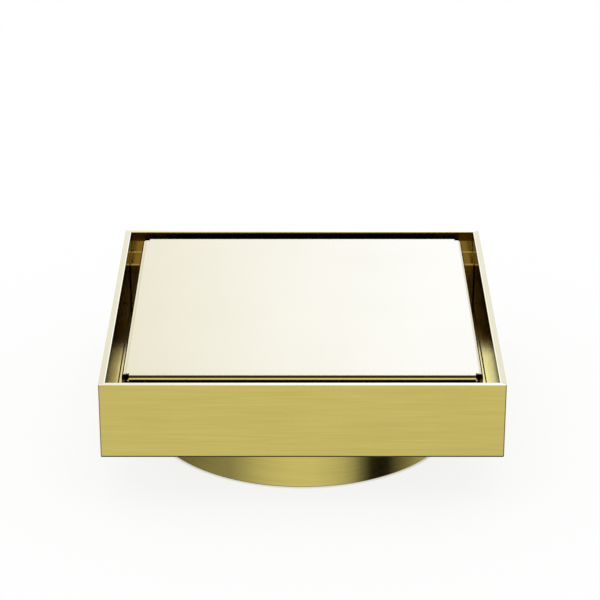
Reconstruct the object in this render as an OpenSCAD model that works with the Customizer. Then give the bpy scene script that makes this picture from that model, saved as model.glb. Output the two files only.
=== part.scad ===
// Square floor waste with a solid lift-out cover.
// A welded open-top frame carries a round outlet below. Four corner posts hold the cover, which leaves a
// narrow slot all round for the water. A lift-out strainer lies over the outlet, under the cover.
// The origin is the centre of the outlet's lower end, with +Z up and -Y to the front. Sizes are millimetres.

/* [Frame] */
// Outer width and depth of the square frame
frame_w = 110; // [104:1:150]
// Height of the frame's walls
frame_h = 22; // [20:0.5:40]
// Thickness of the four wall strips
wall_t = 1.8; // [1.5:0.1:3]
// Thickness of the base plate between the walls
base_t = 2; // [1:0.1:4]
// Rounding of the upright corners
corner_r = 0.4; // [0.2:0.1:1]
// Rounding along the outer bottom edge
bottom_r = 0.7; // [0.3:0.1:1.2]
// Rounding of the rim's outer edge
rim_out_r = 0.1; // [0.1:0.05:0.5]
// Rounding of the rim's inner edge
rim_in_r = 0.3; // [0.1:0.05:0.8]

/* [Outlet] */
// Outer diameter of the outlet tube
outlet_d = 90; // [60:0.5:94]
// Wall thickness of the outlet tube
outlet_t = 1.5; // [1:0.1:3]
// Length of the outlet tube below the frame
outlet_drop = 14.6; // [12:0.2:60]
// Rounding of the outlet tube's lower edges
outlet_edge_r = 0.3; // [0.1:0.05:0.45]

/* [Cover] */
// Width of the drain slot between the frame and the cover
slot_w = 4; // [3:0.1:6]
// Thickness of the cover's sheet
cover_t = 0.9; // [0.7:0.1:1]
// Inner radius of the cover's bends
bend_in_r = 0.4; // [0.05:0.05:0.6]
// Height of the folded cover at its corners, which rest on the posts
cover_h = 6.1; // [5:0.1:9]
// Gap between the strainer's disc and the cover's skirt, where its flanges go down between the posts
skirt_gap = 1.6; // [0.6:0.1:4]
// Play between the skirt and the posts
skirt_play = 0.5; // [0.3:0.1:1]
// Depth of the cover's top below the rim
cover_drop = 0.25; // [0:0.05:1]
// Side of the square relief cut at each corner of the cover
corner_relief = 2.1; // [1.5:0.1:3]

/* [Corner posts] */
// How far each corner post reaches under the cover
post_shelf = 5.6; // [5.6:0.1:8]
// Rounding of the post's inner edges
post_edge_r = 0.5; // [0.2:0.1:1]
// Diameter of the locating studs
stud_d = 3; // [2.5:0.1:3]
// Gap between a stud's tip and the cover above it
stud_gap = 0.6; // [0.4:0.1:2]
// Depth of a stud inside its post
stud_depth = 6; // [3:0.5:8]
// Chamfer on the stud's tip
stud_chamfer = 0.5; // [0.2:0.1:0.8]
// Play between a stud and the cover's flange
stud_play = 0.2; // [0.1:0.05:0.25]
// Thickness of the soft washers under the cover
washer_t = 0.4; // [0.3:0.1:1]

/* [Strainer] */
// Thickness of the perforated disc
disc_t = 1; // [0.6:0.1:1.5]
// How far the disc reaches over the base plate around the outlet
disc_seat = 3.5; // [2.5:0.1:3.8]
// Diameter of the perforations
hole_d = 5; // [3:0.1:6]
// Spacing of the perforations
hole_pitch = 8; // [7:0.5:12]
// Least metal between the perforations and the collar
hole_margin = 1; // [0.5:0.1:4]
// Thickness of the gasket under the disc
gasket_t = 0.8; // [0.5:0.1:1]
// Height of the locating collar under the disc
collar_h = 6; // [3:0.5:8]
// Wall thickness of the collar
collar_t = 1; // [0.8:0.1:1.5]
// Radial play of the collar in the outlet
collar_play = 0.5; // [0.3:0.1:1]
// Diameter of the lifting knob
knob_d = 14; // [12:0.5:18]
// Height of the lifting knob
knob_h = 8; // [7:0.1:10]
// Diameter of the knob's stem
knob_stem_d = 7; // [6:0.5:10]
// Height of the knob's head
knob_head_h = 4.8; // [3.5:0.1:5.5]
// Rounding of the knob's head
knob_edge_r = 1.2; // [0.4:0.1:1.6]
// Thread diameter of the knob's screw
screw_d = 4; // [3:0.5:4]
// Length of the screw inside the knob
screw_bite = 5; // [3:0.1:6]
// Diameter of the screw's head
screw_head_d = 8; // [6:0.5:9]
// Height of the screw's head
screw_head_h = 2.4; // [1.6:0.1:3]

/* [Fits] */
// Radial gap of a loose hole
running_gap = 0.1; // [0.05:0.05:0.3]
// Radial gap of a pressed or threaded hole
press_gap = 0.03; // [0.01:0.01:0.05]
// Depth left free past the end of a screw
tip_gap = 0.6; // [0.2:0.1:0.9]

/* [Hidden] */
$fn = 64;
brass = "#c6b766";
steel = "#b9bbbd";
silicone = "#2a2a2a";

// Heights above the outlet's lower end
base_z = outlet_drop;
floor_z = base_z + base_t;
rim_z = base_z + frame_h;
cover_top_z = rim_z - cover_drop;
flange_z = cover_top_z - cover_h;
post_top_z = flange_z - washer_t;
stud_top_z = cover_top_z - cover_t - stud_gap;
disc_z = floor_z + gasket_t;
skirt_z = disc_z + disc_t + skirt_gap;

// Plan sizes
inner_half = frame_w / 2 - wall_t;
cover_half = inner_half - slot_w;
bend_out_r = bend_in_r + cover_t;
post_w = slot_w + post_shelf;
post_inner = inner_half - post_w;
skirt_half = post_inner - skirt_play;
stud_r = stud_d / 2;
washer_r = stud_r + stud_play + cover_t;
stud_at = cover_half - washer_r;

// Outlet and strainer radii
outlet_r = outlet_d / 2;
bore_r = outlet_r - outlet_t;
disc_r = bore_r + disc_seat;
collar_r = bore_r - collar_play;
gasket_in_r = collar_r + collar_play / 2;
holes_r = collar_r - collar_t - hole_margin;

// How far a cutting tool runs past the face that it cuts
overrun = 1;

// Corner directions in plan
front_left = [-1, -1];
front_right = [1, -1];
rear_right = [1, 1];
rear_left = [-1, 1];

// The sliver that a rounding of radius r takes off a corner at the origin, whose sides run along +X and +Y
module corner_sliver(r) {
    difference() {
        square(r);
        translate([r, r]) circle(r);
    }
}

// A square centred on the origin with rounded corners
module rounded_square(side, r) {
    square([side, side - 2 * r], center = true);
    square([side - 2 * r, side], center = true);
    for (x = [-1, 1], y = [-1, 1]) {
        translate([x, y] * (side / 2 - r)) circle(r);
    }
}

// Extrudes a section, drawn in Y and Z, along X, centred on the origin
module along_x(length) {
    translate([-length / 2, 0, 0]) rotate([90, 0, 90]) linear_extrude(length) children();
}

// Places a piece drawn for the rear right corner at another corner
module at_corner(corner) {
    mirror([corner[0] < 0 ? 1 : 0, 0, 0]) mirror([0, corner[1] < 0 ? 1 : 0, 0]) children();
}

// A ring about the Z axis
module ring(outer_r, inner_r, height) {
    difference() {
        cylinder(r = outer_r, h = height);
        translate([0, 0, -overrun]) cylinder(r = inner_r, h = height + 2 * overrun);
    }
}

// Section of a wall strip, with its outer face on Y = 0 and its lower edge on Z = 0
module wall_section() {
    difference() {
        square([wall_t, frame_h]);
        corner_sliver(bottom_r);
        translate([0, frame_h]) mirror([0, 1]) corner_sliver(rim_out_r);
        translate([wall_t, frame_h]) rotate(180) corner_sliver(rim_in_r);
    }
}

// A wall strip, mitred at both ends: quarter turns go front, right, rear and left
module wall(quarter_turns) {
    color(brass) rotate(90 * quarter_turns) intersection() {
        translate([0, -frame_w / 2, base_z]) along_x(frame_w) wall_section();
        linear_extrude(rim_z + overrun) intersection() {
            rounded_square(frame_w, corner_r);
            polygon([[0, 0], [-frame_w, -frame_w], [frame_w, -frame_w]]);
        }
    }
}

// The floor of the frame, let in between the walls, with the outlet's hole
module base_plate() {
    color(brass) difference() {
        translate([-inner_half, -inner_half, base_z]) cube([2 * inner_half, 2 * inner_half, base_t]);
        cylinder(r = bore_r, h = floor_z + overrun);
    }
}

// The round tube that goes down into the waste pipe
module outlet_tube() {
    color(brass) rotate_extrude() translate([bore_r, 0]) difference() {
        square([outlet_t, base_z]);
        corner_sliver(outlet_edge_r);
        translate([outlet_t, 0]) mirror([1, 0]) corner_sliver(outlet_edge_r);
    }
}

// A square post in a corner of the frame, drilled for its stud
module corner_post(corner) {
    height = post_top_z - floor_z;
    color(brass) at_corner(corner) difference() {
        translate([post_inner, post_inner, floor_z]) cube([post_w, post_w, height]);
        for (swap = [0, 1]) {
            mirror([swap, -swap, 0]) translate([inner_half, post_inner, post_top_z]) mirror([0, 0, 1])
                along_x(4 * post_w) corner_sliver(post_edge_r);
        }
        translate([stud_at, stud_at, post_top_z - stud_depth])
            cylinder(r = stud_r + press_gap, h = stud_depth + overrun);
    }
}

// A pin pressed into a post, which keeps the cover centred
module locating_stud(corner) {
    foot_z = post_top_z - stud_depth;
    shank_h = stud_top_z - stud_chamfer - foot_z;
    color(brass) at_corner(corner) translate([stud_at, stud_at, foot_z]) {
        cylinder(d = stud_d, h = shank_h);
        translate([0, 0, shank_h]) cylinder(d1 = stud_d, d2 = stud_d - 2 * stud_chamfer, h = stud_chamfer);
    }
}

// A soft washer round a stud, on which the cover's flanges rest
module rest_washer(corner) {
    color(silicone) at_corner(corner) translate([stud_at, stud_at, post_top_z])
        ring(washer_r, stud_r + running_gap, washer_t);
}

// Section of the folded cover of a given height: the top sheet with a flange down each side
module cover_section(height) {
    difference() {
        translate([-cover_half, 0]) square([2 * cover_half, height]);
        translate([-cover_half, height]) mirror([0, 1]) corner_sliver(bend_out_r);
        translate([cover_half, height]) rotate(180) corner_sliver(bend_out_r);
        difference() {
            translate([cover_t - cover_half, -overrun])
                square([2 * (cover_half - cover_t), height - cover_t + overrun]);
            translate([cover_t - cover_half, height - cover_t]) mirror([0, 1]) corner_sliver(bend_in_r);
            translate([cover_half - cover_t, height - cover_t]) rotate(180) corner_sliver(bend_in_r);
        }
    }
}

// The lift-out cover, folded down on four sides from one sheet, with deeper flanges between the posts
module cover_plate() {
    color(brass) {
        for (turn = [0, 90]) {
            rotate(turn) {
                translate([0, 0, flange_z])
                    along_x(2 * (cover_half - corner_relief)) cover_section(cover_h);
                translate([0, 0, skirt_z])
                    along_x(2 * skirt_half) cover_section(cover_top_z - skirt_z);
            }
        }
    }
}

// The perforated disc of the strainer, with its holes on a triangular grid
module strainer_disc() {
    row_step = hole_pitch * sqrt(3) / 2;
    rows = floor(holes_r / row_step);
    columns = ceil(holes_r / hole_pitch) + 1;
    color(steel) difference() {
        translate([0, 0, disc_z]) cylinder(r = disc_r, h = disc_t);
        cylinder(d = screw_d + 2 * running_gap, h = rim_z);
        for (row = [-rows : rows], column = [-columns : columns]) {
            x = (column + (row % 2 == 0 ? 0 : 0.5)) * hole_pitch;
            y = row * row_step;
            reach = norm([x, y]);
            if (reach + hole_d / 2 < holes_r && reach - hole_d / 2 > knob_d / 2) {
                translate([x, y, disc_z - overrun]) cylinder(d = hole_d, h = disc_t + 2 * overrun);
            }
        }
    }
}

// The ring under the disc that drops into the outlet and keeps the strainer in place
module strainer_collar() {
    color(steel) translate([0, 0, disc_z - collar_h]) ring(collar_r, collar_r - collar_t, collar_h);
}

// The flat soft ring between the disc and the base plate
module strainer_gasket() {
    color(silicone) translate([0, 0, floor_z]) ring(disc_r, gasket_in_r, gasket_t);
}

// The turned knob that lifts the strainer out
module lift_knob() {
    color(steel) translate([0, 0, disc_z + disc_t]) difference() {
        rotate_extrude() difference() {
            union() {
                square([knob_stem_d / 2, knob_h]);
                translate([0, knob_h - knob_head_h]) square([knob_d / 2, knob_head_h]);
            }
            translate([knob_d / 2, knob_h]) rotate(180) corner_sliver(knob_edge_r);
            translate([knob_d / 2, knob_h - knob_head_h]) mirror([1, 0]) corner_sliver(knob_edge_r);
        }
        translate([0, 0, -overrun]) cylinder(d = screw_d + 2 * press_gap, h = overrun + screw_bite + tip_gap);
    }
}

// The screw that holds the knob from below
module knob_screw() {
    color(steel) translate([0, 0, disc_z]) {
        cylinder(d = screw_d, h = disc_t + screw_bite);
        translate([0, 0, -screw_head_h]) cylinder(d = screw_head_d, h = screw_head_h);
    }
}

wall(0);  // front_wall
wall(1);  // right_wall
wall(2);  // rear_wall
wall(3);  // left_wall
base_plate();
outlet_tube();
corner_post(front_left);  // corner_post_front_left
corner_post(front_right);  // corner_post_front_right
corner_post(rear_right);  // corner_post_rear_right
corner_post(rear_left);  // corner_post_rear_left
locating_stud(front_left);  // locating_stud_front_left
locating_stud(front_right);  // locating_stud_front_right
locating_stud(rear_right);  // locating_stud_rear_right
locating_stud(rear_left);  // locating_stud_rear_left
rest_washer(front_left);  // rest_washer_front_left
rest_washer(front_right);  // rest_washer_front_right
rest_washer(rear_right);  // rest_washer_rear_right
rest_washer(rear_left);  // rest_washer_rear_left
cover_plate();
strainer_disc();
strainer_collar();
strainer_gasket();
lift_knob();
knob_screw();
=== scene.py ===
"""Looks of a square brass floor drain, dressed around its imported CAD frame."""

import logging
import math
from dataclasses import dataclass, field
from enum import Enum

import bpy
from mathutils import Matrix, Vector

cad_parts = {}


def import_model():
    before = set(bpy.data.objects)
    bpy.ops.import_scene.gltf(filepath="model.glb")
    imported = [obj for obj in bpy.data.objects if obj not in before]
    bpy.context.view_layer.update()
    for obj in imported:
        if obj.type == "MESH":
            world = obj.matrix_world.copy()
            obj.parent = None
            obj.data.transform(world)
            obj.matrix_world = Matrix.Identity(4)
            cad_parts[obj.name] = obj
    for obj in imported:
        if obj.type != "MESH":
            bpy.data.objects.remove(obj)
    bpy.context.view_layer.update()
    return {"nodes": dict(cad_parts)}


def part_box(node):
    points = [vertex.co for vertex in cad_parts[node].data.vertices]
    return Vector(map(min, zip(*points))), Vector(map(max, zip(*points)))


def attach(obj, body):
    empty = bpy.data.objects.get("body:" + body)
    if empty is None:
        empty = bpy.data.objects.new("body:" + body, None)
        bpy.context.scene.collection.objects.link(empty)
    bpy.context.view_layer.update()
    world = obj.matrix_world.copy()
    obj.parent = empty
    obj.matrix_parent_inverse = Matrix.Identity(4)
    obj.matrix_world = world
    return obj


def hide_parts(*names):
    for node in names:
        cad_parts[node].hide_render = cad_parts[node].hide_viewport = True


Colour = tuple[float, float, float]
Span = tuple[float, float]
Stops = list[tuple[float, Colour]]
Socket = bpy.types.NodeSocket

LOG = logging.getLogger("floor_drain")
MM = 0.001
MERGE_DISTANCE = 0.002 * MM
CUT_TOLERANCE = 0.001 * MM


class Grain(Enum):
    """Directions in which a metal surface was brushed."""

    ALONG_X = "X"
    ALONG_Y = "Y"
    AROUND_Z = "Z"


class Measure(Enum):
    """Distances, from the middle of the outlet's lower end, that mark off part of a surface."""

    X = "to the right"
    Y = "to the back"
    Z = "up"
    WIDE = "to either side"
    FARTHER = "to a side, or to the front or the back, whichever is more"
    NEARER = "to a side, or to the front or the back, whichever is less"


def grey(value: float) -> tuple[float, float, float, float]:
    """Returns an opaque grey as a colour for a node socket."""
    return (value, value, value, 1.0)


class NodeSheet:
    """A material or world node tree that is filled from code."""

    def __init__(self, tree: bpy.types.NodeTree) -> None:
        """Starts from an empty tree.

        Args:
            tree: The node tree to fill.
        """
        self.tree = tree
        tree.nodes.clear()

    def add(self, kind: str, **settings: object) -> bpy.types.Node:
        """Adds a node.

        Args:
            kind: The node's Blender type name.
            settings: Values for the node's own properties.

        Returns:
            The new node.
        """
        node = self.tree.nodes.new(kind)
        for name, value in settings.items():
            setattr(node, name, value)
        return node

    def link(self, source: Socket, target: Socket) -> None:
        """Joins an output socket to an input socket."""
        self.tree.links.new(source, target)

    def math(self, operation: str, first: object, second: object = None) -> Socket:
        """Adds a Math node.

        Args:
            operation: The node's operation.
            first: A socket or a number.
            second: A socket or a number, where the operation takes two.

        Returns:
            The node's output socket.
        """
        node = self.add("ShaderNodeMath", operation=operation)
        for socket, value in zip(node.inputs, (first, second)):
            if isinstance(value, Socket):
                self.link(value, socket)
            elif value is not None:
                socket.default_value = value
        return node.outputs["Value"]

    def remap(self, source: Socket, old: Span, new: Span) -> Socket:
        """Maps one range of values to another.

        Args:
            source: The socket to read.
            old: The low and high values read.
            new: The low and high values given.

        Returns:
            The mapped value's socket.
        """
        node = self.add("ShaderNodeMapRange")
        self.link(source, node.inputs["Value"])
        for name, value in zip(("From Min", "From Max", "To Min", "To Max"), (*old, *new)):
            node.inputs[name].default_value = value
        return node.outputs["Result"]

    def ramp(self, source: Socket, stops: Stops) -> Socket:
        """Turns a value from 0 to 1 into a colour.

        Args:
            source: The socket to read.
            stops: Places from 0 to 1, each with its colour.

        Returns:
            The colour's socket.
        """
        node = self.add("ShaderNodeValToRGB")
        elements = node.color_ramp.elements
        while len(elements) < len(stops):
            elements.new(0.5)
        for element, (place, colour) in zip(elements, stops):
            element.position = place
            element.color = (*colour, 1.0)
        self.link(source, node.inputs["Fac"])
        return node.outputs["Color"]

    def mix(self, kind: str, share: Socket, first: Socket, second: Socket) -> Socket:
        """Mixes two colours or two values.

        Args:
            kind: RGBA for colours, FLOAT for values.
            share: How much of the second is taken, from 0 to 1.
            first: The socket taken where the share is 0.
            second: The socket taken where the share is 1.

        Returns:
            The mixed socket.
        """
        node = self.add("ShaderNodeMix", data_type=kind)
        inputs = [socket for socket in node.inputs if socket.enabled]
        for source, target in zip((share, first, second), inputs):
            self.link(source, target)
        return next(socket for socket in node.outputs if socket.enabled)

    def blend(self, first: Socket, second: Socket, share: float) -> Socket:
        """Adds two values, each in its share.

        Args:
            first: A value's socket.
            second: The other value's socket.
            share: How much of the first is taken. The second makes up the rest.

        Returns:
            The sum's socket.
        """
        main = self.math("MULTIPLY", first, share)
        rest = self.math("MULTIPLY", second, 1.0 - share)
        return self.math("ADD", main, rest)

    def product(self, first: Socket, second: Socket) -> Socket:
        """Multiplies two colours.

        Args:
            first: A colour's socket.
            second: The other colour's socket.

        Returns:
            The product's socket.
        """
        node = self.add("ShaderNodeVectorMath", operation="MULTIPLY")
        self.link(first, node.inputs[0])
        self.link(second, node.inputs[1])
        return node.outputs["Vector"]

    def noise(self, vector: Socket, scale: Colour, detail: float) -> Socket:
        """Adds a noise pattern stretched by a scale along each axis.

        Args:
            vector: The coordinates to read.
            scale: Cells per metre along X, Y and Z.
            detail: Octaves of finer noise.

        Returns:
            The pattern's value, from 0 to 1.
        """
        mapping = self.add("ShaderNodeMapping")
        mapping.inputs["Scale"].default_value = scale
        self.link(vector, mapping.inputs["Vector"])
        node = self.add("ShaderNodeTexNoise", noise_dimensions="3D")
        node.inputs["Scale"].default_value = 1.0
        node.inputs["Detail"].default_value = detail
        self.link(mapping.outputs["Vector"], node.inputs["Vector"])
        return node.outputs["Fac"]


@dataclass(frozen=True)
class Tone:
    """The colour and the gloss of one part of a brushed surface."""

    light: Colour
    dark: Colour
    smooth: float
    rough: float


OUTSIDE_BRASS = Tone((0.629, 0.53, 0.152), (0.543, 0.455, 0.123), 0.18, 0.28)
# painted shadow: the walls' lowest band is darkened as the shadow line between the frame and the outlet
FOOT_SHADOW_BRASS = Tone((0.1, 0.083, 0.02), (0.085, 0.07, 0.016), 0.18, 0.28)
TUBE_BRASS = Tone((0.625, 0.523, 0.146), (0.545, 0.456, 0.125), 0.12, 0.18)
FLANGE_BRASS = Tone((0.60, 0.505, 0.142), (0.572, 0.48, 0.132), 0.07, 0.1)
# painted shade: the walls' inner sides and the cover's underside are darkened as the shade inside the frame
INSIDE_SHADE_BRASS = Tone((0.38, 0.28, 0.08), (0.34, 0.25, 0.07), 0.06, 0.1)
# painted shade: the upper inner sides of the front and rear walls, darker still towards the corners
END_INSIDE_SHADE_BRASS = Tone((0.19, 0.105, 0.012), (0.17, 0.094, 0.01), 0.2, 0.26)
# painted shade: the posts are darkened as they stand deep inside the frame
POST_SHADE_BRASS = Tone((0.44, 0.32, 0.09), (0.4, 0.29, 0.08), 0.06, 0.1)
# painted shade on the posts' front faces
POST_FACE_SHADE_BRASS = Tone((0.29, 0.18, 0.022), (0.27, 0.167, 0.02), 0.06, 0.1)
# painted light: the right wall's inner side is brightened as if lit
RIGHT_INSIDE_LIGHT_BRASS = Tone((0.94, 0.78, 0.24), (0.9, 0.73, 0.2), 0.06, 0.1)
BEAD_BRASS = Tone((0.6, 0.49, 0.15), (0.5, 0.4, 0.11), 0.1, 0.2)
# painted shade: dark lines along the inner creases where walls, floor and posts meet, and a band just below
# the rear rim inside
CREASE_SHADE_BRASS = Tone((0.05, 0.035, 0.01), (0.03, 0.02, 0.005), 0.3, 0.4)
FLOOR_BRASS = Tone((0.5, 0.4, 0.1), (0.46, 0.37, 0.09), 0.08, 0.12)
SHADED_FLOOR_BRASS = Tone((0.3, 0.24, 0.055), (0.28, 0.22, 0.05), 0.08, 0.12)
LIT_FLOOR_BRASS = Tone((0.78, 0.63, 0.19), (0.74, 0.6, 0.18), 0.08, 0.12)
# painted light: the floor of the right slot is paled as if lit
RIGHT_FLOOR_LIGHT_BRASS = Tone((1.0, 0.91, 0.42), (0.97, 0.88, 0.39), 0.08, 0.12)
# painted shade: the floor at the back and deep in the side slots, and the posts' feet
DEEP_SHADE_BRASS = Tone((0.12, 0.068, 0.01), (0.1, 0.056, 0.008), 0.1, 0.16)
# painted highlight: the cover's flat top is pale cream in place of the bright reflection that brass gives at
# a low angle
TOP_HIGHLIGHT_BRASS = Tone((0.765, 0.70, 0.495), (0.745, 0.68, 0.475), 0.22, 0.26)
# painted highlight on the rear rim's inner rounding
REAR_EDGE_HIGHLIGHT_BRASS = Tone((0.72, 0.56, 0.2), (0.69, 0.53, 0.18), 0.14, 0.2)
# painted highlight: the front and rear rim tops are paled
END_RIM_HIGHLIGHT_BRASS = Tone((0.845, 0.79, 0.59), (0.825, 0.77, 0.57), 0.2, 0.26)
# painted highlights on the inner rounding of the left and right rims
LEFT_EDGE_HIGHLIGHT_BRASS = Tone((0.95, 0.9, 0.68), (0.92, 0.87, 0.65), 0.14, 0.2)
RIGHT_EDGE_HIGHLIGHT_BRASS = Tone((1.0, 0.98, 0.87), (0.98, 0.96, 0.85), 0.14, 0.2)
# painted highlights on the cover's rear, left and right bends
REAR_BEND_HIGHLIGHT_BRASS = Tone((0.88, 0.82, 0.62), (0.85, 0.79, 0.59), 0.46, 0.56)
LEFT_BEND_HIGHLIGHT_BRASS = Tone((0.94, 0.89, 0.69), (0.91, 0.86, 0.66), 0.46, 0.56)
RIGHT_BEND_HIGHLIGHT_BRASS = Tone((0.86, 0.8, 0.6), (0.83, 0.77, 0.57), 0.46, 0.56)
# painted highlights on the side rims, lighter on the left than on the right
LEFT_RIM_HIGHLIGHT_BRASS = Tone((0.724, 0.659, 0.459), (0.693, 0.628, 0.427), 0.2, 0.28)
RIGHT_RIM_HIGHLIGHT_BRASS = Tone((0.616, 0.543, 0.312), (0.59, 0.518, 0.292), 0.2, 0.28)
# painted dark reflection on the cover's front bend and steep sides
BEND_DARK_REFLECTION_BRASS = Tone((0.06, 0.045, 0.008), (0.05, 0.036, 0.006), 0.1, 0.14)
STEEL = Tone((0.6, 0.6, 0.61), (0.5, 0.5, 0.51), 0.16, 0.28)


@dataclass(frozen=True)
class Window:
    """A range of one measure, in millimetres, open at an end that isn't given, with a soft edge."""

    measure: Measure
    low: float | None = None
    high: float | None = None
    soft: float = 0.04


@dataclass(frozen=True)
class Zone:
    """A part of a surface that has its own tone. A later zone lies over an earlier one."""

    tone: Tone
    windows: tuple[Window, ...]

    def share(self, sheet: NodeSheet, measures: dict[Measure, Socket]) -> Socket:
        """Marks the zone.

        Args:
            sheet: The material's node sheet.
            measures: The socket that gives each measure.

        Returns:
            A value that is 1 inside the zone and 0 outside it.
        """
        parts = []
        for window in self.windows:
            place = measures[window.measure]
            soft = window.soft * MM
            if window.low is not None:
                low = window.low * MM
                parts.append(sheet.remap(place, (low - soft, low + soft), (0.0, 1.0)))
            if window.high is not None:
                high = window.high * MM
                parts.append(sheet.remap(place, (high - soft, high + soft), (1.0, 0.0)))
        total = parts[0]
        for part in parts[1:]:
            total = sheet.math("MULTIPLY", total, part)
        return total


LEFT_SIDE = Window(Measure.X, high=0.0)
RIGHT_SIDE = Window(Measure.X, low=0.0)


@dataclass(frozen=True)
class BrushedMetal:
    """Metal brushed one way, with a tone all over and other tones in its zones."""

    name: str
    grain: Grain
    tone: Tone
    zones: tuple[Zone, ...] = ()
    anisotropy: float = 0.6
    fine_lines: float = 4200.0
    broad_lines: float = 1300.0
    run: float = 52.0
    smudges: float = 38.0
    fine_detail: float = 2.0
    broad_detail: float = 3.0
    fine_share: float = 0.5
    line_wear: float = 0.6
    line_span: Span = (0.32, 0.68)
    wear_span: Span = (0.35, 0.65)
    line_depth: float = 0.000003
    line_strength: float = 0.3
    across_grain: float = 0.25

    def stretched(self, across: float) -> Colour:
        """Stretches lines along the grain.

        Args:
            across: Lines per metre across the grain.

        Returns:
            Cells per metre along X, Y and Z.
        """
        scale = {
            Grain.ALONG_X: (self.run, across, across),
            Grain.ALONG_Y: (across, self.run, across),
            Grain.AROUND_Z: (self.run, self.run, across),
        }
        return scale[self.grain]

    @staticmethod
    def measures(sheet: NodeSheet, place: Socket) -> dict[Measure, Socket]:
        """Gives every measure of a place.

        Args:
            sheet: The material's node sheet.
            place: The place's socket.

        Returns:
            The socket of each measure.
        """
        axes = sheet.add("ShaderNodeSeparateXYZ")
        sheet.link(place, axes.inputs["Vector"])
        wide = sheet.math("ABSOLUTE", axes.outputs["X"])
        deep = sheet.math("ABSOLUTE", axes.outputs["Y"])
        return {
            Measure.X: axes.outputs["X"],
            Measure.Y: axes.outputs["Y"],
            Measure.Z: axes.outputs["Z"],
            Measure.WIDE: wide,
            Measure.FARTHER: sheet.math("MAXIMUM", wide, deep),
            Measure.NEARER: sheet.math("MINIMUM", wide, deep),
        }

    def material(self) -> bpy.types.Material:
        """Builds the material.

        Returns:
            The new material.
        """
        material = bpy.data.materials.new(self.name)
        material.use_nodes = True
        sheet = NodeSheet(material.node_tree)
        place = sheet.add("ShaderNodeTexCoord").outputs["Object"]
        fine = sheet.noise(place, self.stretched(self.fine_lines), self.fine_detail)
        broad = sheet.noise(place, self.stretched(self.broad_lines), self.broad_detail)
        smudge = sheet.noise(place, (self.smudges,) * 3, self.broad_detail)
        lines = sheet.blend(fine, broad, self.fine_share)
        shade = sheet.remap(lines, self.line_span, (0.0, 1.0))
        worn = sheet.blend(lines, smudge, self.line_wear)

        colour = self.colour_of(sheet, shade, self.tone)
        gloss = self.gloss_of(sheet, worn, self.tone)
        measures = self.measures(sheet, place)
        for zone in self.zones:
            share = zone.share(sheet, measures)
            colour = sheet.mix("RGBA", share, colour, self.colour_of(sheet, shade, zone.tone))
            gloss = sheet.mix("FLOAT", share, gloss, self.gloss_of(sheet, worn, zone.tone))

        shader = sheet.add("ShaderNodeBsdfPrincipled")
        shader.inputs["Metallic"].default_value = 1.0
        shader.inputs["Anisotropic"].default_value = self.anisotropy
        shader.inputs["Anisotropic Rotation"].default_value = self.across_grain
        sheet.link(colour, shader.inputs["Base Color"])
        sheet.link(gloss, shader.inputs["Roughness"])

        bump = sheet.add("ShaderNodeBump")
        bump.inputs["Strength"].default_value = self.line_strength
        bump.inputs["Distance"].default_value = self.line_depth
        sheet.link(lines, bump.inputs["Height"])
        sheet.link(bump.outputs["Normal"], shader.inputs["Normal"])

        axis = {Grain.ALONG_X: "Y", Grain.ALONG_Y: "X", Grain.AROUND_Z: "Z"}[self.grain]
        tangent = sheet.add("ShaderNodeTangent", direction_type="RADIAL", axis=axis)
        sheet.link(tangent.outputs["Tangent"], shader.inputs["Tangent"])

        output = sheet.add("ShaderNodeOutputMaterial")
        sheet.link(shader.outputs["BSDF"], output.inputs["Surface"])
        return material

    @staticmethod
    def colour_of(sheet: NodeSheet, shade: Socket, tone: Tone) -> Socket:
        """Returns the colour of one tone, from its dark lines to its light ones."""
        return sheet.ramp(shade, [(0.0, tone.dark), (1.0, tone.light)])

    def gloss_of(self, sheet: NodeSheet, worn: Socket, tone: Tone) -> Socket:
        """Returns the roughness of one tone, from its smooth lines to its rough ones."""
        return sheet.remap(worn, self.wear_span, (tone.smooth, tone.rough))


@dataclass(frozen=True)
class Silicone:
    """Soft dark rubber with a faint bloom."""

    name: str = "silicone"
    light: Colour = (0.035, 0.035, 0.036)
    dark: Colour = (0.018, 0.018, 0.019)
    bloom_cells: float = 260.0
    bloom_detail: float = 4.0
    bloom_span: Span = (0.35, 0.7)
    skin_cells: float = 5200.0
    skin_detail: float = 2.0
    skin_depth: float = 0.00002
    skin_strength: float = 0.25
    worn_span: Span = (0.3, 0.7)
    roughness: Span = (0.5, 0.7)

    def material(self) -> bpy.types.Material:
        """Builds the material.

        Returns:
            The new material.
        """
        material = bpy.data.materials.new(self.name)
        material.use_nodes = True
        sheet = NodeSheet(material.node_tree)
        place = sheet.add("ShaderNodeTexCoord").outputs["Object"]
        bloom = sheet.noise(place, (self.bloom_cells,) * 3, self.bloom_detail)
        skin = sheet.noise(place, (self.skin_cells,) * 3, self.skin_detail)
        shader = sheet.add("ShaderNodeBsdfPrincipled")
        colours = list(zip(self.bloom_span, (self.dark, self.light)))
        sheet.link(sheet.ramp(bloom, colours), shader.inputs["Base Color"])
        sheet.link(sheet.remap(bloom, self.worn_span, self.roughness), shader.inputs["Roughness"])
        bump = sheet.add("ShaderNodeBump")
        bump.inputs["Strength"].default_value = self.skin_strength
        bump.inputs["Distance"].default_value = self.skin_depth
        sheet.link(skin, bump.inputs["Height"])
        sheet.link(bump.outputs["Normal"], shader.inputs["Normal"])
        output = sheet.add("ShaderNodeOutputMaterial")
        sheet.link(shader.outputs["BSDF"], output.inputs["Surface"])
        return material


def dress(piece: bpy.types.Object, material: bpy.types.Material) -> None:
    """Gives a piece one material all over.

    Args:
        piece: The piece to dress.
        material: Its material.
    """
    piece.data.materials.clear()
    piece.data.materials.append(material)
    for face in piece.data.polygons:
        face.material_index = 0


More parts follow.
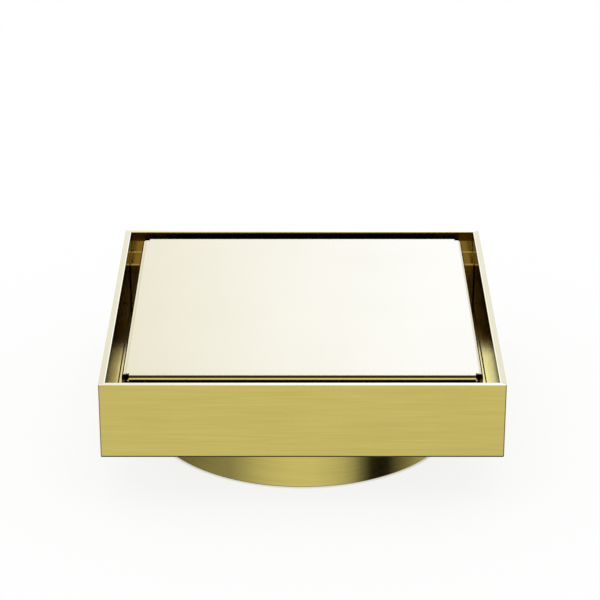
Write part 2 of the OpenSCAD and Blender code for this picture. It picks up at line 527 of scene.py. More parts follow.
@dataclass
class Studio:
    """The camera, the pale floor and the soft light around the object."""

    camera_place: Vector = field(default_factory=lambda: Vector((-0.66, -610.1, 309.26)) * MM)
    camera_tilt: float = math.radians(90.0 - 24.034)
    lens_mm: float = 138.0
    sensor_mm: float = 36.0
    clip_from: float = 0.01
    floor_side: float = 12.0
    floor_white: float = 0.98
    dim_within: Span = (44.0, 46.0)
    shadow_share: float = 0.16
    card_edge: Span = (0.34, 0.22)
    across_reach: Span = (-0.4, 0.4)
    behind_edge: Span = (0.2, 0.6)
    low_edge: Span = (-0.22, -0.34)
    fade_depths: Span = (2.0, 5.0)
    fade_strengths: Span = (2.0, 0.1)

    def place_camera(self) -> None:
        """Sets the camera at the photograph's viewing angle."""
        data = bpy.data.cameras.new("camera")
        data.lens = self.lens_mm
        data.sensor_width = self.sensor_mm
        data.sensor_fit = "HORIZONTAL"
        data.clip_start = self.clip_from
        camera = bpy.data.objects.new("camera", data)
        camera.location = self.camera_place
        camera.rotation_euler = (self.camera_tilt, 0.0, 0.0)
        bpy.context.scene.collection.objects.link(camera)
        bpy.context.scene.camera = camera

    def lay_floor(self) -> None:
        """Lays the pale floor, which keeps the object's shadow, and glows less inside the outlet."""
        bpy.ops.object.select_all(action="DESELECT")
        bpy.ops.mesh.primitive_plane_add(size=self.floor_side)
        floor = bpy.context.object
        floor.name = "floor"
        floor.visible_glossy = False
        material = bpy.data.materials.new("pale_floor")
        material.use_nodes = True
        sheet = NodeSheet(material.node_tree)
        paper = sheet.add("ShaderNodeBsdfDiffuse")
        paper.inputs["Color"].default_value = grey(self.floor_white)
        glow = sheet.add("ShaderNodeEmission")
        glow.inputs["Color"].default_value = grey(1.0)
        camera_ray = sheet.add("ShaderNodeLightPath").outputs["Is Camera Ray"]
        reach = sheet.add("ShaderNodeVectorMath", operation="LENGTH")
        sheet.link(sheet.add("ShaderNodeTexCoord").outputs["Object"], reach.inputs[0])
        edge = tuple(radius * MM for radius in self.dim_within)
        outside = sheet.remap(reach.outputs["Value"], edge, (0.0, 1.0 - self.shadow_share))
        mix = sheet.add("ShaderNodeMixShader")
        sheet.link(sheet.math("MULTIPLY", camera_ray, outside), mix.inputs["Fac"])
        sheet.link(paper.outputs["BSDF"], mix.inputs[1])
        sheet.link(glow.outputs["Emission"], mix.inputs[2])
        output = sheet.add("ShaderNodeOutputMaterial")
        sheet.link(mix.outputs["Shader"], output.inputs["Surface"])
        dress(floor, material)

    def light(self) -> None:
        """Lights the object evenly, with broad panels that the metal mirrors."""
        world = bpy.data.worlds.new("studio")
        bpy.context.scene.world = world
        world.use_nodes = True
        world.cycles.sampling_method = "NONE"
        sheet = NodeSheet(world.node_tree)
        axes = sheet.add("ShaderNodeSeparateXYZ")
        sheet.link(sheet.add("ShaderNodeTexCoord").outputs["Generated"], axes.inputs["Vector"])
        x, y, z = (axes.outputs[name] for name in "XYZ")

        pitch = sheet.remap(sheet.math("ARCTAN2", z, y), (0.0, math.pi), (0.0, 1.0))
        middle = sheet.remap(sheet.math("ABSOLUTE", x), self.card_edge, (0.0, 1.0))
        above = sheet.mix("RGBA", middle, sheet.ramp(pitch, self.pitch_stops(carded=False)),
                          sheet.ramp(pitch, self.pitch_stops(carded=True)))
        across = sheet.ramp(sheet.remap(x, self.across_reach, (0.0, 1.0)), self.across_stops())
        behind = sheet.remap(y, self.behind_edge, (0.0, 1.0))
        above = sheet.mix("RGBA", behind, above, sheet.product(above, across))

        drop = sheet.remap(sheet.math("ARCSINE", z), (-math.pi / 2, 0.0), (0.0, 1.0))
        bearing = sheet.remap(sheet.math("ARCTAN2", x, sheet.math("MULTIPLY", y, -1.0)),
                              (-math.pi, math.pi), (0.0, 1.0))
        below = sheet.ramp(drop, self.drop_stops())
        low = sheet.remap(z, self.low_edge, (0.0, 1.0))
        faded = sheet.product(below, sheet.ramp(bearing, self.bearing_stops()))
        below = sheet.mix("RGBA", low, below, faded)
        light = sheet.mix("RGBA", sheet.math("GREATER_THAN", z, 0.0), below, above)

        path = sheet.add("ShaderNodeLightPath")
        mirrored = sheet.add("ShaderNodeBackground")
        sheet.link(light, mirrored.inputs["Color"])
        strength = sheet.remap(path.outputs["Glossy Depth"], self.fade_depths, self.fade_strengths)
        sheet.link(strength, mirrored.inputs["Strength"])
        plain = sheet.add("ShaderNodeBackground")
        plain.inputs["Color"].default_value = grey(1.0)
        mix = sheet.add("ShaderNodeMixShader")
        sheet.link(path.outputs["Is Glossy Ray"], mix.inputs["Fac"])
        sheet.link(plain.outputs["Background"], mix.inputs[1])
        sheet.link(mirrored.outputs["Background"], mix.inputs[2])
        output = sheet.add("ShaderNodeOutputWorld")
        sheet.link(mix.outputs["Shader"], output.inputs["Surface"])

    @staticmethod
    def pitch_stops(carded: bool) -> Stops:
        """Returns the panels' light over the object, from behind it up and over to the front.

        Args:
            carded: Whether a dark card hangs behind the top, and another before it.

        Returns:
            Places from 0 to 1, each with its colour, at half strength.
        """
        near, far = (0.08, 0.03) if carded else (0.5, 0.5)
        panels = [
            (0, (0.55, 0.57, 0.62)),
            (10, (0.648, 0.692, 0.862)),
            (49, (0.648, 0.692, 0.862)),
            (62, (far, far, far)),
            (79, (far, far, far)),
            (83, (0.52, 0.52, 0.5)),
            (98, (0.52, 0.52, 0.5)),
            (102, (near, near, near)),
            (118, (near, near, near)),
            (126, (0.63, 0.63, 0.63)),
            (180, (0.55, 0.55, 0.55)),
        ]
        return [(degrees / 180, colour) for degrees, colour in panels]

    @staticmethod
    def drop_stops() -> Stops:
        """Returns the light from below, from straight down up to the horizon.

        Returns:
            Places from 0 to 1, each with its grey, at half strength.
        """
        panels = [(-90, 0.12), (-60, 0.12), (-45, 0.38), (-24, 0.5), (0, 0.55)]
        return [((degrees + 90) / 90, (value, value, value)) for degrees, value in panels]

    @staticmethod
    def across_stops() -> Stops:
        """Returns how the panel behind changes from the left to the right: warm, then cool, then warm.

        Returns:
            Places from 0 to 1, each with the colour that the panel's light is multiplied by.
        """
        return [
            (0.0, (0.72, 0.69, 0.6)),
            (0.3, (0.74, 0.68, 0.45)),
            (0.5, (1.0, 1.0, 1.0)),
            (0.64, (1.06, 1.08, 1.18)),
            (0.75, (1.0, 1.0, 1.03)),
            (0.95, (0.76, 0.74, 0.66)),
        ]

    @staticmethod
    def bearing_stops() -> Stops:
        """Returns how the low panels fade from the front, in the middle, round both sides to the back.

        Returns:
            Places from 0 to 1, each with its colour.
        """
        panels = [
            (-180, 1.0), (-125, 0.5), (-104, 0.2), (-75, 0.33), (-55, 0.41), (-43, 0.61), (-32, 0.8),
            (-20, 0.93), (-8, 1.0), (8, 1.0), (20, 0.9), (30, 0.76), (38, 0.54), (44, 0.24),
            (52, 0.015), (56, 0.0), (67, 0.0), (74, 0.11), (109, 0.64), (125, 0.75), (180, 1.0),
        ]
        return [((degrees + 180) / 360, (value, value, value)) for degrees, value in panels]

    def build(self) -> None:
        """Sets up the camera, the floor, the light and the view."""
        self.place_camera()
        self.lay_floor()
        self.light()
        bpy.context.scene.view_settings.view_transform = "Standard"


def turned(name: str, profile: list[Span], segments: int, closed: bool) -> bpy.types.Object:
    """Turns a profile about the Z axis, ring by ring, from its first point to its last.

    Args:
        name: The piece's name.
        profile: Radius and height of each ring in millimetres. A radius of 0 ends the piece in a point.
        segments: Edges in each ring.
        closed: Whether the last ring joins the first.

    Returns:
        The new piece, in object mode.
    """
    rings = [(radius * MM, height * MM) for radius, height in profile]
    pole_first = rings[0][0] == 0.0
    start = rings[1] if pole_first else rings[0]
    bpy.ops.object.select_all(action="DESELECT")
    bpy.ops.mesh.primitive_circle_add(vertices=segments, radius=start[0], location=(0.0, 0.0, start[1]))
    piece = bpy.context.object
    piece.name = name
    piece.data.name = name
    bpy.ops.object.transform_apply(location=True, rotation=True, scale=True)
    bpy.ops.object.mode_set(mode="EDIT")
    bpy.ops.mesh.select_all(action="SELECT")
    radius, height = start
    path = rings[2:] if pole_first else rings[1:]
    for next_radius, next_height in path + ([rings[0]] if closed else []):
        bpy.ops.mesh.extrude_edges_move(TRANSFORM_OT_translate={"value": (0.0, 0.0, next_height - height)})
        if next_radius == 0.0:
            bpy.ops.mesh.merge(type="CENTER")
            break
        grow = next_radius / radius
        bpy.ops.transform.resize(value=(grow, grow, 1.0), center_override=(0.0, 0.0, 0.0))
        radius, height = next_radius, next_height
    if pole_first:
        bpy.ops.mesh.select_all(action="DESELECT")
        bpy.ops.mesh.select_mode(type="EDGE")
        bpy.ops.mesh.select_non_manifold(extend=False)
        bpy.ops.mesh.extrude_edges_move(
            TRANSFORM_OT_translate={"value": (0.0, 0.0, rings[0][1] - start[1])})
        bpy.ops.mesh.merge(type="CENTER")
    bpy.ops.mesh.select_mode(type="VERT")
    bpy.ops.mesh.select_all(action="SELECT")
    bpy.ops.mesh.remove_doubles(threshold=MERGE_DISTANCE)
    bpy.ops.mesh.normals_make_consistent(inside=False)
    bpy.ops.object.mode_set(mode="OBJECT")
    return piece


def select_only(piece: bpy.types.Object) -> None:
    """Selects one piece, and makes it the active one.

    Args:
        piece: The piece to select.
    """
    bpy.ops.object.select_all(action="DESELECT")
    piece.select_set(True)
    bpy.context.view_layer.objects.active = piece


def outward(piece: bpy.types.Object) -> None:
    """Turns a piece's faces outwards.

    Args:
        piece: The piece to turn.
    """
    select_only(piece)
    bpy.ops.object.mode_set(mode="EDIT")
    bpy.ops.mesh.select_all(action="SELECT")
    bpy.ops.mesh.normals_make_consistent(inside=False)
    bpy.ops.object.mode_set(mode="OBJECT")


def soften(piece: bpy.types.Object, degrees: float) -> None:
    """Shades a piece smooth, apart from edges sharper than an angle.

    Args:
        piece: The piece to shade.
        degrees: The angle.
    """
    select_only(piece)
    bpy.ops.object.shade_smooth_by_angle(angle=math.radians(degrees))


def hand_over(piece: bpy.types.Object, body: str, node: str) -> None:
    """Puts a new piece in the place of a node.

    Args:
        piece: The new piece.
        body: The body that it moves with.
        node: The node that it stands for.
    """
    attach(piece, body)
    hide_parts(node)
    LOG.info("made %s for %s", piece.name, node)


@dataclass(frozen=True)
class WallZones:
    """Where the tones of the four walls change: heights and distances from the middle, in millimetres."""

    foot_top: float = 15.2
    inside_heights: Span = (15.6, 36.54)
    inside_reach: float = 53.35
    floor_crease_top: float = 16.8
    corner_crease_from: float = 53.1
    shaded_from: float = 33.7
    shaded_fade: float = 0.12
    shaded_corner: float = 41.0
    shaded_corner_fade: float = 2.0
    rear_shade_heights: Span = (36.0, 36.42)
    rear_edge_from: float = 36.45
    rear_edge_reach: Span = (53.1, 53.55)
    end_rim_from: float = 36.575
    side_rim_from: float = 36.52
    side_edge_from: float = 36.56
    side_edge_reach: float = 53.52
    rim_fade: float = 0.01
    bright_fade: float = 8.0

    def inside(self) -> tuple[Window, ...]:
        """Returns the windows that mark off the walls' inner side."""
        return (Window(Measure.FARTHER, high=self.inside_reach), Window(Measure.Z, *self.inside_heights))

    def crease_shades(self) -> tuple[Zone, ...]:
        """Gives the painted shade along every wall's inner creases and joints, and the painted shadow on the
        foot below it.

        Returns:
            The zones.
        """
        return (
            Zone(CREASE_SHADE_BRASS, (*self.inside(), Window(Measure.NEARER, low=self.corner_crease_from))),
            Zone(CREASE_SHADE_BRASS, (*self.inside(), Window(Measure.Z, high=self.floor_crease_top))),
            Zone(FOOT_SHADOW_BRASS, (Window(Measure.Z, high=self.foot_top),)),
        )

    def ends(self) -> tuple[Zone, ...]:
        """Gives the zones of the front and the rear wall: painted shade inside, and painted highlights on
        the rims.

        Returns:
            The zones.
        """
        corners = Window(Measure.WIDE, low=self.shaded_corner, soft=self.shaded_corner_fade)
        upper = Window(Measure.Z, low=self.shaded_from, soft=self.shaded_fade)
        rear_shade = (Window(Measure.Y, self.corner_crease_from, self.inside_reach),
                     Window(Measure.Z, *self.rear_shade_heights))
        rear_edge = (Window(Measure.Y, *self.rear_edge_reach), Window(Measure.Z, low=self.rear_edge_from))
        return (
            Zone(INSIDE_SHADE_BRASS, self.inside()),
            Zone(END_INSIDE_SHADE_BRASS, (*self.inside(), corners, upper)),
            *self.crease_shades(),
            # painted shade inside the rear wall, just below its rim
            Zone(CREASE_SHADE_BRASS, rear_shade),
            Zone(END_RIM_HIGHLIGHT_BRASS, (Window(Measure.Z, low=self.end_rim_from, soft=self.rim_fade),)),
            Zone(REAR_EDGE_HIGHLIGHT_BRASS, rear_edge),
        )

    def sides(self) -> tuple[Zone, ...]:
        """Gives the zones of the left and the right wall: painted shade inside, painted light on the right
        wall's inner side, and painted highlights on the rims.

        Returns:
            The zones.
        """
        above_seam = Window(Measure.Z, low=self.floor_crease_top)
        front_half = Window(Measure.Y, high=0.0, soft=self.bright_fade)
        rim = Window(Measure.Z, low=self.side_rim_from)
        edge = (Window(Measure.FARTHER, high=self.side_edge_reach),
                Window(Measure.Z, low=self.side_edge_from, soft=self.rim_fade))
        return (
            Zone(INSIDE_SHADE_BRASS, self.inside()),
            *self.crease_shades(),
            # painted light on the right wall's inner side, over its front half
            Zone(RIGHT_INSIDE_LIGHT_BRASS, (*self.inside(), RIGHT_SIDE, above_seam, front_half)),
            Zone(LEFT_RIM_HIGHLIGHT_BRASS, (rim, LEFT_SIDE)),
            Zone(RIGHT_RIM_HIGHLIGHT_BRASS, (rim, RIGHT_SIDE)),
            Zone(LEFT_EDGE_HIGHLIGHT_BRASS, (*edge, LEFT_SIDE)),
            Zone(RIGHT_EDGE_HIGHLIGHT_BRASS, (*edge, RIGHT_SIDE)),
        )


@dataclass(frozen=True)
class FloorZones:
    """Where the tones of the base plate change: a height and distances from the middle, in millimetres."""

    upper_from: float = 15.6
    slot_from: float = 48.0
    slot_fade: float = 0.5
    lit_from: float = 51.2
    lit_fade: float = 1.8
    deep_shade_from: float = 48.6
    deep_shade_to: float = 52.4
    deep_shade_fade: float = 1.0
    left_shade_behind: float = 8.5
    left_behind_fade: float = 9.5
    right_shade_behind: float = 13.5
    right_behind_fade: float = 7.5
    far_shade_from: float = 49.9
    far_shade_behind: float = 19.5
    crease_shade_from: float = 53.0

    def upper(self, tone: Tone, *windows: Window) -> Zone:
        """Returns a zone on the plate's upper side."""
        return Zone(tone, (Window(Measure.Z, low=self.upper_from), *windows))

    def deep_shade(self, across: Window, behind: float, fade: float) -> Zone:
        """Returns painted shade deep in a side slot, which fades out towards the front."""
        return self.upper(DEEP_SHADE_BRASS, across, Window(Measure.Y, low=behind, soft=fade))

    def zones(self) -> tuple[Zone, ...]:
        """Gives the floor inside the frame, with the painted shade and the painted light that it has in the
        slots and along the walls.

        Returns:
            The zones.
        """
        left = Window(Measure.X, high=-self.deep_shade_from, soft=self.deep_shade_fade)
        right = Window(Measure.X, self.deep_shade_from, self.deep_shade_to, self.deep_shade_fade)
        far_right = Window(Measure.X, low=self.far_shade_from, soft=self.deep_shade_fade)
        return (
            self.upper(FLOOR_BRASS),
            self.upper(SHADED_FLOOR_BRASS, Window(Measure.X, high=-self.slot_from, soft=self.slot_fade)),
            self.upper(LIT_FLOOR_BRASS, Window(Measure.X, high=-self.lit_from, soft=self.lit_fade)),
            self.upper(RIGHT_FLOOR_LIGHT_BRASS, Window(Measure.X, low=self.slot_from, soft=self.slot_fade)),
            # painted shade across the back of the floor
            self.upper(DEEP_SHADE_BRASS, Window(Measure.Y, low=self.deep_shade_from, soft=self.deep_shade_fade)),
            self.deep_shade(left, self.left_shade_behind, self.left_behind_fade),
            self.deep_shade(right, self.right_shade_behind, self.right_behind_fade),
            self.deep_shade(far_right, self.far_shade_behind, self.right_behind_fade),
            self.upper(CREASE_SHADE_BRASS, Window(Measure.FARTHER, low=self.crease_shade_from)),
        )


@dataclass(frozen=True)
class PostZones:
    """Where the tones of the posts change: heights and distances from the middle, in millimetres."""

    foot_top: float = 16.75
    face_reach: Span = (43.0, 43.75)
    face_from: float = 24.0
    face_fade: float = 3.0
    face_top: float = 29.6
    crease_shade_from: float = 53.1
    low_crease_from: float = 52.92
    low_crease_top: float = 29.5

    def zones(self) -> tuple[Zone, ...]:
        """Gives the painted shade on the posts' front faces, along their joints with the walls and on their
        feet.

        Returns:
            The zones.
        """
        face = (Window(Measure.Y, *self.face_reach), Window(Measure.Z, high=self.face_top),
                Window(Measure.Z, low=self.face_from, soft=self.face_fade))
        low_crease = (Window(Measure.FARTHER, low=self.low_crease_from),
                    Window(Measure.Z, high=self.low_crease_top))
        return (
            Zone(POST_FACE_SHADE_BRASS, face),
            Zone(CREASE_SHADE_BRASS, (Window(Measure.FARTHER, low=self.crease_shade_from),)),
            Zone(CREASE_SHADE_BRASS, low_crease),
            Zone(DEEP_SHADE_BRASS, (Window(Measure.Z, high=self.foot_top),)),
        )


@dataclass
class WeldedFrame:
    """The walls, the base plate, the outlet and the corner posts with their soft washers."""

    nodes: dict[str, bpy.types.Object]
    walls: WallZones = WallZones()
    floor: FloorZones = FloorZones()
    posts: PostZones = PostZones()
    washer_segments: int = 48
    washer_width: float = 1.0
    washer_round: float = 0.1
    washer_crease: float = 40.0
    bead_radius: float = 0.34
    bead_sides: int = 24
    bead_scallop: float = 0.8
    bead_steps: int = 5
    bead_dip: float = 0.12
    bead_crease: float = 50.0

    def dress_node(self, name: str, material: bpy.types.Material) -> None:
        """Dresses one node and reports it."""
        dress(self.nodes[name], material)
        LOG.info("dressed %s", name)

    def dress_metal(self) -> None:
        """Dresses the brass nodes, each with its brushing along its length."""
        ends = BrushedMetal("brass_wall_x", Grain.ALONG_X, OUTSIDE_BRASS, self.walls.ends()).material()
        sides = BrushedMetal("brass_wall_y", Grain.ALONG_Y, OUTSIDE_BRASS, self.walls.sides()).material()
        floor = BrushedMetal("brass_floor", Grain.ALONG_X, OUTSIDE_BRASS, self.floor.zones()).material()
        tube = BrushedMetal("brass_tube", Grain.AROUND_Z, TUBE_BRASS).material()
        post = BrushedMetal("brass_post", Grain.ALONG_X, POST_SHADE_BRASS, self.posts.zones()).material()
        for name in ("front_wall", "rear_wall"):
            self.dress_node(name, ends)
        for name in ("left_wall", "right_wall"):
            self.dress_node(name, sides)
        self.dress_node("base_plate", floor)
        self.dress_node("outlet_tube", tube)
        for name in self.nodes:
            if name.startswith(("corner_post", "locating_stud")):
                self.dress_node(name, post)

    def build_beads(self) -> None:
        """Makes the weld beads that join the posts' tops to the walls."""
        low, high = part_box("corner_post_rear_right")
        brass = BrushedMetal("brass_weld", Grain.ALONG_X, BEAD_BRASS).material()
        first = self.build_bead(low, high)
        for name, turn in (("rear_right", (1.0, 1.0)), ("rear_left", (-1.0, 1.0)),
                           ("front_right", (1.0, -1.0)), ("front_left", (-1.0, -1.0))):
            piece = first.copy()
            piece.data = first.data.copy()
            piece.name = piece.data.name = f"weld_bead_{name}"
            bpy.context.scene.collection.objects.link(piece)
            select_only(piece)
            bpy.ops.transform.resize(value=(*turn, 1.0), center_override=(0.0, 0.0, 0.0))
            bpy.ops.object.transform_apply(location=True, rotation=True, scale=True)
            outward(piece)
            soften(piece, self.bead_crease)
            dress(piece, brass)
            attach(piece, "frame")
            LOG.info("made %s", piece.name)
        bpy.data.objects.remove(first)

    def build_bead(self, low: Vector, high: Vector) -> bpy.types.Object:
        """Makes the bead of the rear right post: a scalloped quarter round along each of its two walls.

        Args:
            low: The post's lowest corner.
            high: The post's highest corner.

        Returns:
            The bead, in object mode.
        """
        arms = [self.build_arm(low, high, along_x) for along_x in (True, False)]
        bpy.ops.object.select_all(action="DESELECT")
        for arm in arms:
            arm.select_set(True)
        bpy.context.view_layer.objects.active = arms[0]
        bpy.ops.object.join()
        return bpy.context.object

    def build_arm(self, low: Vector, high: Vector, along_x: bool) -> bpy.types.Object:
        """Makes one arm of a bead: a quarter disc in the angle, drawn out step by step along the wall.

        Args:
            low: The post's lowest corner.
            high: The post's highest corner.
            along_x: Whether the arm runs along X. The other arm stops short of it.

        Returns:
            The arm, in object mode.
        """
        radius = self.bead_radius * MM
        length = high.x - low.x - (0.0 if along_x else radius)
        start = (low.x, high.y, high.z) if along_x else (high.x, low.y, high.z)
        turn = (0.0, math.pi / 2, 0.0) if along_x else (math.pi / 2, 0.0, 0.0)
        away = (0.0, 1.0, 0.0) if along_x else (1.0, 0.0, 0.0)
        bpy.ops.object.select_all(action="DESELECT")
        bpy.ops.mesh.primitive_circle_add(vertices=self.bead_sides, radius=radius, fill_type="NGON",
                                          location=start, rotation=turn)
        arm = bpy.context.object
        bpy.ops.object.transform_apply(location=True, rotation=True, scale=True)
        bpy.ops.object.mode_set(mode="EDIT")
        for normal in (away, (0.0, 0.0, -1.0)):
            bpy.ops.mesh.select_all(action="SELECT")
            bpy.ops.mesh.bisect(plane_co=start, plane_no=normal, clear_outer=True, threshold=CUT_TOLERANCE)
        bpy.ops.mesh.select_all(action="SELECT")
        scallops = round(length / (self.bead_scallop * MM))
        count = scallops * self.bead_steps
        step = length / count
        size = 1.0
        for index in range(1, count + 1):
            move = (step, 0.0, 0.0) if along_x else (0.0, step, 0.0)
            bpy.ops.mesh.extrude_region_move(TRANSFORM_OT_translate={"value": move})
            wave = math.sin(math.pi * (index % self.bead_steps) / self.bead_steps)
            target = 1.0 - self.bead_dip * wave
            grow = target / size
            bpy.ops.transform.resize(value=(1.0, grow, grow) if along_x else (grow, 1.0, grow),
                                     center_override=start)
            size = target
        bpy.ops.object.mode_set(mode="OBJECT")
        return arm

    def build_washers(self, soft: bpy.types.Material) -> None:
        """Makes the four soft washers that the cover rests on.

        Args:
            soft: Their material.
        """
        for name in [node for node in self.nodes if node.startswith("rest_washer")]:
            low, high = (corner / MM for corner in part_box(name))
            outer = (high.x - low.x) / 2
            self.build_washer(name, outer, (low.z, high.z), (low + high) / 2 * MM, soft)

    def build_washer(self, node: str, outer: float, heights: Span, centre: Vector,
                     soft: bpy.types.Material) -> None:
        """Makes one soft washer with rounded edges.

        Args:
            node: The node that it stands for.
            outer: Its outer radius in millimetres.
            heights: Its lowest and highest point in millimetres.
            centre: Its centre in metres.
            soft: Its material.
        """
        low, high = heights
        edge = self.washer_round
        side, rise = 0.3 * edge, 0.5 * edge
        inner = outer - self.washer_width
        middle = (low + high) / 2
        section = [
            (inner + edge, low), (outer - edge, low), (outer - side, low + rise), (outer, middle),
            (outer - side, high - rise), (outer - edge, high), (inner + edge, high),
            (inner + side, high - rise), (inner, middle), (inner + side, low + rise),
        ]
        name = node.replace("rest_washer", "soft_washer")
        piece = turned(name, section, self.washer_segments, closed=True)
        bpy.ops.transform.translate(value=(centre.x, centre.y, 0.0))
        bpy.ops.object.transform_apply(location=True, rotation=True, scale=True)
        soften(piece, self.washer_crease)
        dress(piece, soft)
        hand_over(piece, "frame", node)


@dataclass
class FoldedCover:
    """The lift-out cover, folded from one brushed sheet."""

    node: bpy.types.Object
    flat_above: float = 36.3
    bend_dark: Span = (35.83, 36.25)
    side_bend: Span = (36.0, 36.4)
    side_dark: Span = (34.5, 36.0)
    bend_beyond: float = 47.5
    inside_half: float = 48.4
    inside_below: float = 35.5

    def dress(self) -> None:
        """Dresses the sheet, with a painted dark reflection on its front bend and steep sides, painted
        highlights on its top and its other bends, and painted shade on its underside.
        """
        bend = (Window(Measure.Y, high=-self.bend_beyond), Window(Measure.Z, *self.bend_dark))
        rear = (Window(Measure.Y, low=self.bend_beyond), Window(Measure.Z, low=self.bend_dark[0]))
        side = (Window(Measure.WIDE, low=self.bend_beyond), Window(Measure.Z, *self.side_bend))
        steep = (Window(Measure.WIDE, low=self.bend_beyond), Window(Measure.Z, *self.side_dark))
        under = (Window(Measure.FARTHER, high=self.inside_half), Window(Measure.Z, high=self.inside_below))
        sheet = BrushedMetal("brass_cover", Grain.ALONG_X, FLANGE_BRASS, (
            Zone(INSIDE_SHADE_BRASS, under),
            Zone(BEND_DARK_REFLECTION_BRASS, bend),
            Zone(REAR_BEND_HIGHLIGHT_BRASS, rear),
            Zone(BEND_DARK_REFLECTION_BRASS, steep),
            Zone(LEFT_BEND_HIGHLIGHT_BRASS, (*side, LEFT_SIDE)),
            Zone(RIGHT_BEND_HIGHLIGHT_BRASS, (*side, RIGHT_SIDE)),
            Zone(TOP_HIGHLIGHT_BRASS, (Window(Measure.Z, low=self.flat_above),)),
        ))
        dress(self.node, sheet.material())
        LOG.info("dressed %s", self.node.name)


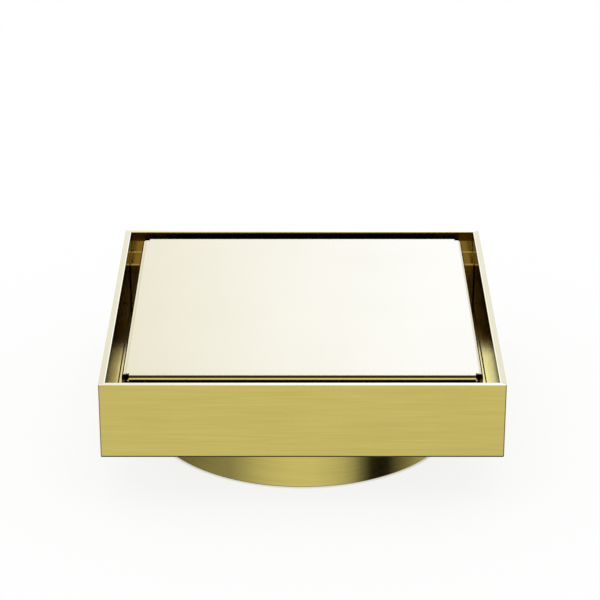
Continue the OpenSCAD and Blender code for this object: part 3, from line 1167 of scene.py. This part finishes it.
@dataclass
class LiftOutStrainer:
    """The perforated disc with its collar, gasket, knob and screw."""

    nodes: dict[str, bpy.types.Object]
    gasket_segments: int = 144
    gasket_width: float = 3.75
    gasket_outer_round: tuple[float, float, float] = (0.25, 0.07, 0.14)
    gasket_inner_round: tuple[float, float, float] = (0.15, 0.04, 0.12)
    gasket_crease: float = 40.0
    knob_segments: int = 72
    knob_crease: float = 28.0
    grip_from: float = 4.2
    grip_below_top: float = 1.2
    grip_tilt: float = 0.1
    screw_segments: int = 48
    screw_crease: float = 32.0
    screw_head: float = 2.4
    knurl_depth: float = 0.3 * MM
    knurl_edge: float = 0.08 * MM
    key_sides: int = 6
    key_radius: float = 1.45 * MM
    key_depth: float = 1.3 * MM

    def dress_metal(self) -> None:
        """Dresses the disc and the collar."""
        dress(self.nodes["strainer_disc"], BrushedMetal("steel_sheet", Grain.ALONG_X, STEEL).material())
        dress(self.nodes["strainer_collar"], BrushedMetal("steel_ring", Grain.AROUND_Z, STEEL).material())
        LOG.info("dressed strainer_disc and strainer_collar")

    def build_gasket(self, soft: bpy.types.Material) -> None:
        """Makes the soft ring under the disc, bulged at its edges.

        Args:
            soft: Its material.
        """
        low, high = (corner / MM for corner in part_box("strainer_gasket"))
        outer = high.x
        inner = outer - self.gasket_width
        foot, top = low.z, high.z
        middle = (foot + top) / 2
        flat, side, rise = self.gasket_outer_round
        inner_flat, inner_side, inner_rise = self.gasket_inner_round
        section = [
            (inner + inner_flat, foot), (outer - flat, foot), (outer - side, foot + rise), (outer, middle),
            (outer - side, top - rise), (outer - flat, top), (inner + inner_flat, top),
            (inner + inner_side, top - inner_rise), (inner, middle), (inner + inner_side, foot + inner_rise),
        ]
        piece = turned("soft_gasket", section, self.gasket_segments, closed=True)
        soften(piece, self.gasket_crease)
        dress(piece, soft)
        hand_over(piece, "strainer", "strainer_gasket")

    def build_knob(self, steel: bpy.types.Material) -> None:
        """Makes the knurled knob, with a hollow for its screw.

        Args:
            steel: Its material.
        """
        low, high = (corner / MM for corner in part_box("lift_knob"))
        reach, foot, top = high.x, low.z, high.z
        grip_low, grip_high = foot + self.grip_from, top - self.grip_below_top
        profile = [
            (0.0, foot + 5.6), (2.03, foot + 5.6), (2.03, foot), (3.3, foot), (3.5, foot + 0.2),
            (3.5, foot + 2.7), (3.65, foot + 3.0), (4.0, foot + 3.2), (reach - 1.0, foot + 3.2),
            (reach - 0.5, foot + 3.33), (reach - 0.13, foot + 3.7), (reach, grip_low), (reach, grip_high),
            (reach - 0.16, top - 0.6), (reach - 0.6, top - 0.16), (reach - 1.2, top), (reach - 2.3, top),
            (reach - 2.7, top - 0.2), (0.0, top - 0.3),
        ]
        piece = turned("knurled_knob", profile, self.knob_segments, closed=False)
        self.knurl(piece, grip_low * MM, grip_high * MM)
        soften(piece, self.knob_crease)
        dress(piece, steel)
        hand_over(piece, "strainer", "lift_knob")

    def knurl(self, piece: bpy.types.Object, low: float, high: float) -> None:
        """Sinks every second face of the knob's grip.

        Args:
            piece: The knob.
            low: The grip's lower height.
            high: The grip's upper height.
        """
        for part in (*piece.data.polygons, *piece.data.edges, *piece.data.vertices):
            part.select = False
        step = math.tau / self.knob_segments
        for face in piece.data.polygons:
            turn = math.atan2(face.center.y, face.center.x) % math.tau
            on_grip = low < face.center.z < high and abs(face.normal.z) < self.grip_tilt
            if on_grip and int(turn / step) % 2 == 0:
                face.select = True
        select_only(piece)
        bpy.ops.object.mode_set(mode="EDIT")
        bpy.ops.mesh.select_mode(type="FACE")
        bpy.ops.mesh.inset(thickness=self.knurl_edge, depth=-self.knurl_depth, use_individual=True)
        bpy.ops.mesh.select_mode(type="VERT")
        bpy.ops.object.mode_set(mode="OBJECT")

    def build_screw(self, steel: bpy.types.Material) -> None:
        """Makes the domed screw under the disc, with a hexagon socket.

        Args:
            steel: Its material.
        """
        low, high = (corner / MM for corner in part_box("knob_screw"))
        reach, foot, tip = high.x, low.z, high.z
        neck = foot + self.screw_head
        profile = [
            (0.0, foot), (1.0, foot), (2.0, foot + 0.06), (2.9, foot + 0.3), (3.5, foot + 0.7),
            (3.88, foot + 1.3), (reach, foot + 1.9), (reach, neck - 0.1), (reach - 0.1, neck),
            (2.0, neck), (2.0, tip - 0.3), (1.7, tip), (0.0, tip),
        ]
        piece = turned("socket_screw", profile, self.screw_segments, closed=False)
        bpy.ops.object.select_all(action="DESELECT")
        bpy.ops.mesh.primitive_cylinder_add(vertices=self.key_sides, radius=self.key_radius,
                                            depth=2.0 * self.key_depth, location=(0.0, 0.0, foot * MM))
        key = bpy.context.object
        cut = piece.modifiers.new("socket", "BOOLEAN")
        cut.operation = "DIFFERENCE"
        cut.solver = "EXACT"
        cut.object = key
        bpy.context.view_layer.objects.active = piece
        bpy.ops.object.modifier_apply(modifier=cut.name)
        bpy.data.objects.remove(key)
        soften(piece, self.screw_crease)
        dress(piece, steel)
        hand_over(piece, "strainer", "knob_screw")


def main() -> None:
    """Builds the studio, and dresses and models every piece."""
    logging.basicConfig(level=logging.INFO)
    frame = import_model()
    nodes = frame["nodes"]
    Studio().build()
    soft = Silicone().material()
    steel = BrushedMetal("steel_turned", Grain.AROUND_Z, STEEL).material()

    welded = WeldedFrame(nodes)
    welded.dress_metal()
    welded.build_beads()
    welded.build_washers(soft)
    FoldedCover(nodes["cover_plate"]).dress()
    strainer = LiftOutStrainer(nodes)
    strainer.dress_metal()
    strainer.build_gasket(soft)
    strainer.build_knob(steel)
    strainer.build_screw(steel)

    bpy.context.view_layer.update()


if __name__ == "__main__":
    main()
